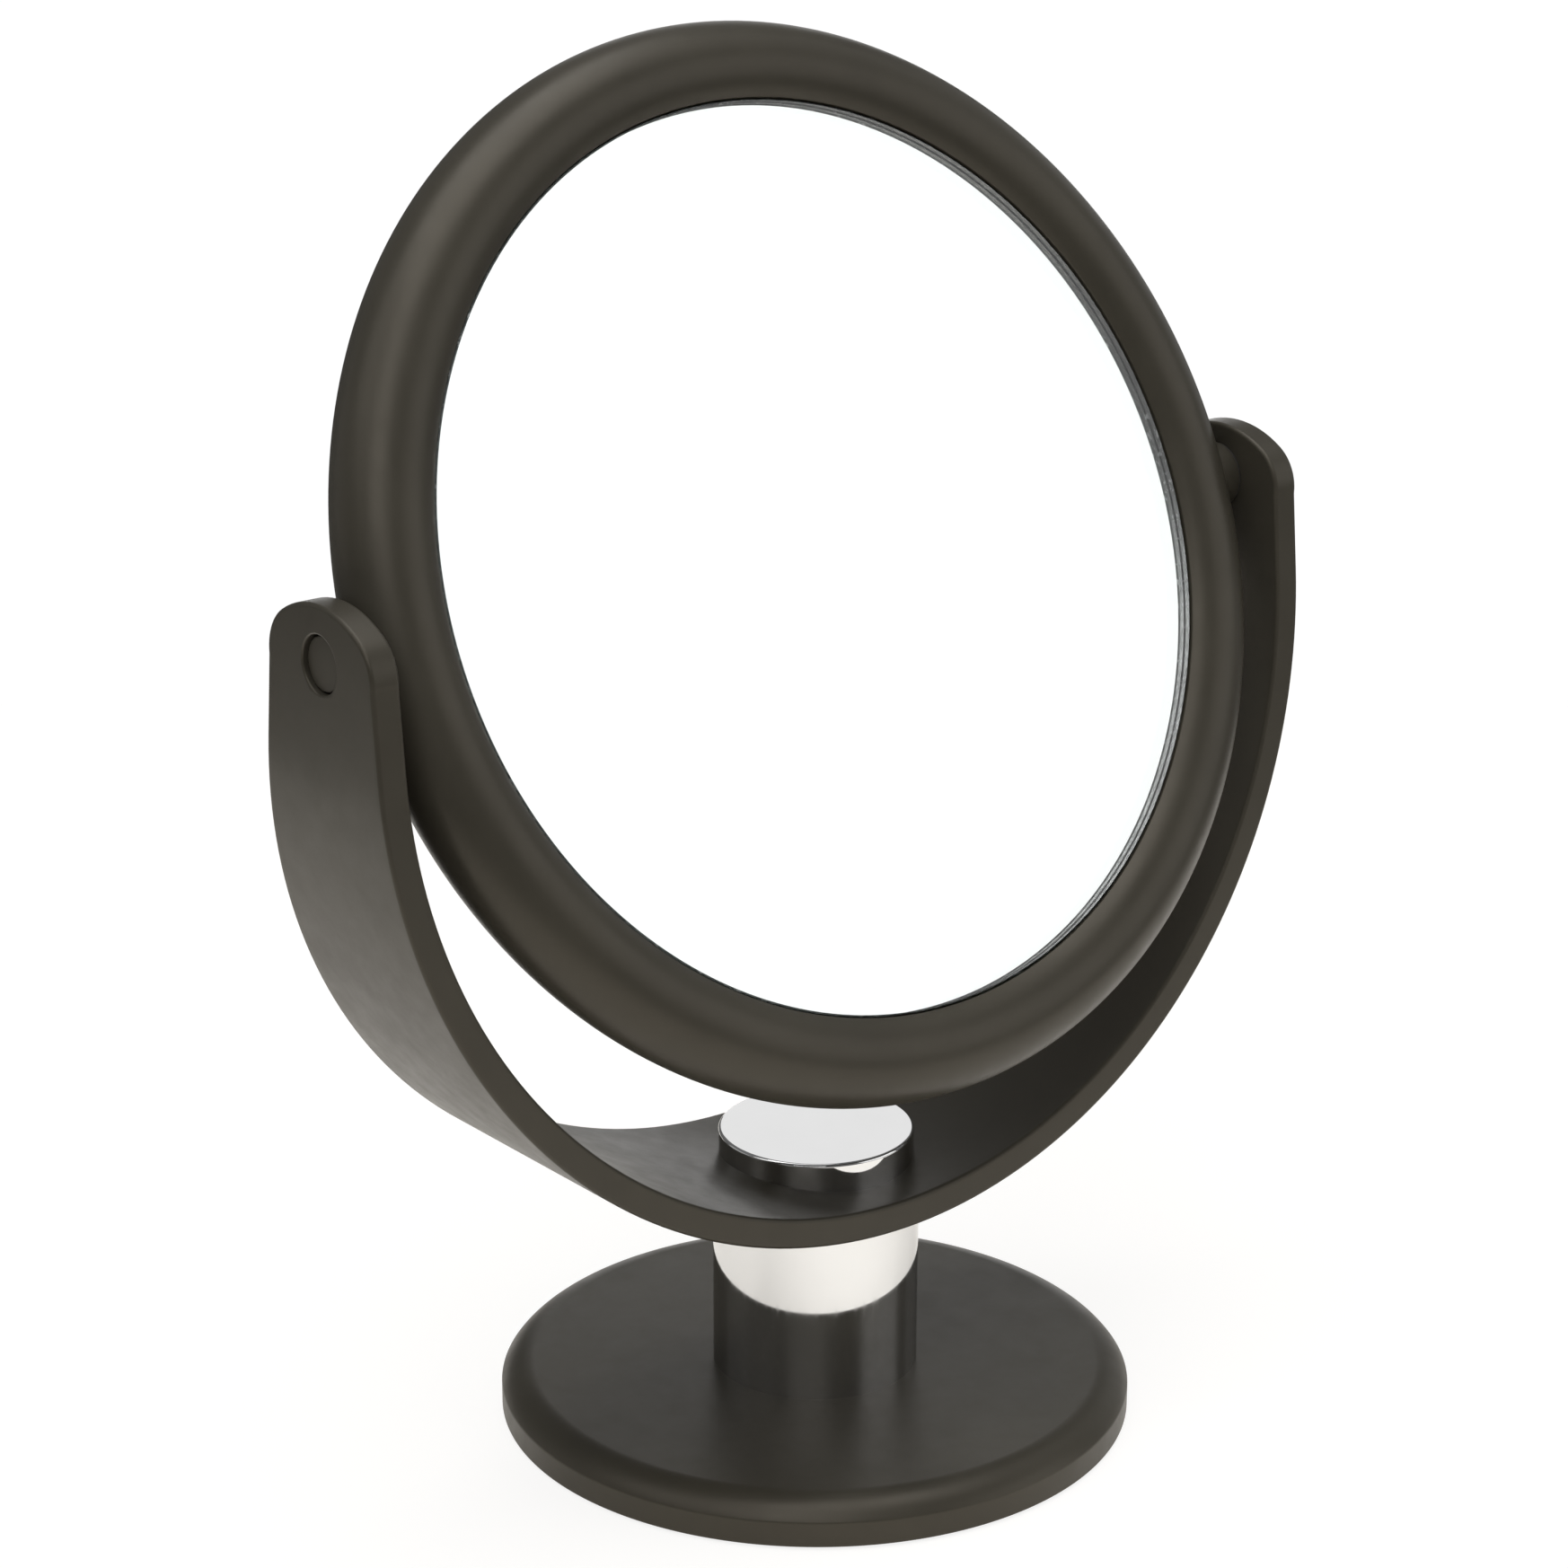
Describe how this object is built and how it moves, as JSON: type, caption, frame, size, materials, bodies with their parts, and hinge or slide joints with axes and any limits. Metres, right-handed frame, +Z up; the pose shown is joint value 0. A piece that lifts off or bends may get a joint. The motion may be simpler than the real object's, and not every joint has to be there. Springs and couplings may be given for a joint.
{
  "type": "pedestal shaving mirror",
  "caption": "Free-standing round shaving mirror with two faces that tilts in a U-shaped yoke on a short chrome column and a weighted round base.",
  "frame": {"origin": "centre of the base's underside, on the surface that the mirror stands on", "axes": "+Z up, -Y the side that the flat mirror faces, X along the tilt axis"},
  "size_m": [0.2114, 0.12, 0.2584],
  "materials": {
    "soft_touch_plastic": "soft-touch matte coating, warm near-black",
    "mirror_glass": "silvered glass",
    "foam_tape": "white foam tape",
    "brass_insert": "plain",
    "steel_fastener": "zinc plated",
    "nylon": "black nylon",
    "chrome_plate": "polished chrome",
    "moulded_plastic": "plain moulded",
    "steel_weight": "cut steel plate",
    "pad_rubber": "matte foam rubber"
  },
  "bodies": {
    "stand": {"yoke": "soft_touch_plastic", "left_pivot_plug": "soft_touch_plastic", "right_pivot_plug": "soft_touch_plastic", "column_tube": "chrome_plate", "column_head_insert": "moulded_plastic", "column_foot_insert": "moulded_plastic", "column_cap": "chrome_plate", "cap_insert": "brass_insert", "tie_bolt": "steel_fastener", "tie_washer": "steel_fastener", "base_cover": "soft_touch_plastic", "base_weight": "steel_weight", "base_plate": "moulded_plastic", "base_pad": "pad_rubber", "base_screws": "steel_fastener"},
    "head": {"front_frame": "soft_touch_plastic", "rear_frame": "soft_touch_plastic", "flat_glass": "mirror_glass", "magnifying_glass": "mirror_glass", "flat_glass_tape": "foam_tape", "magnifying_glass_tape": "foam_tape", "left_pivot_boss": "soft_touch_plastic", "right_pivot_boss": "soft_touch_plastic", "left_thread_insert": "brass_insert", "right_thread_insert": "brass_insert", "left_pivot_screw": "steel_fastener", "right_pivot_screw": "steel_fastener", "left_spring_washer": "steel_fastener", "right_spring_washer": "steel_fastener", "left_friction_washer": "nylon", "right_friction_washer": "nylon"}
  },
  "joints": [
    {"name": "head_tilt", "type": "hinge", "parent": "stand", "child": "head", "pos_m": [0, 0, 0.1668], "axis": [1, 0, 0], "continuous": true}
  ]
}
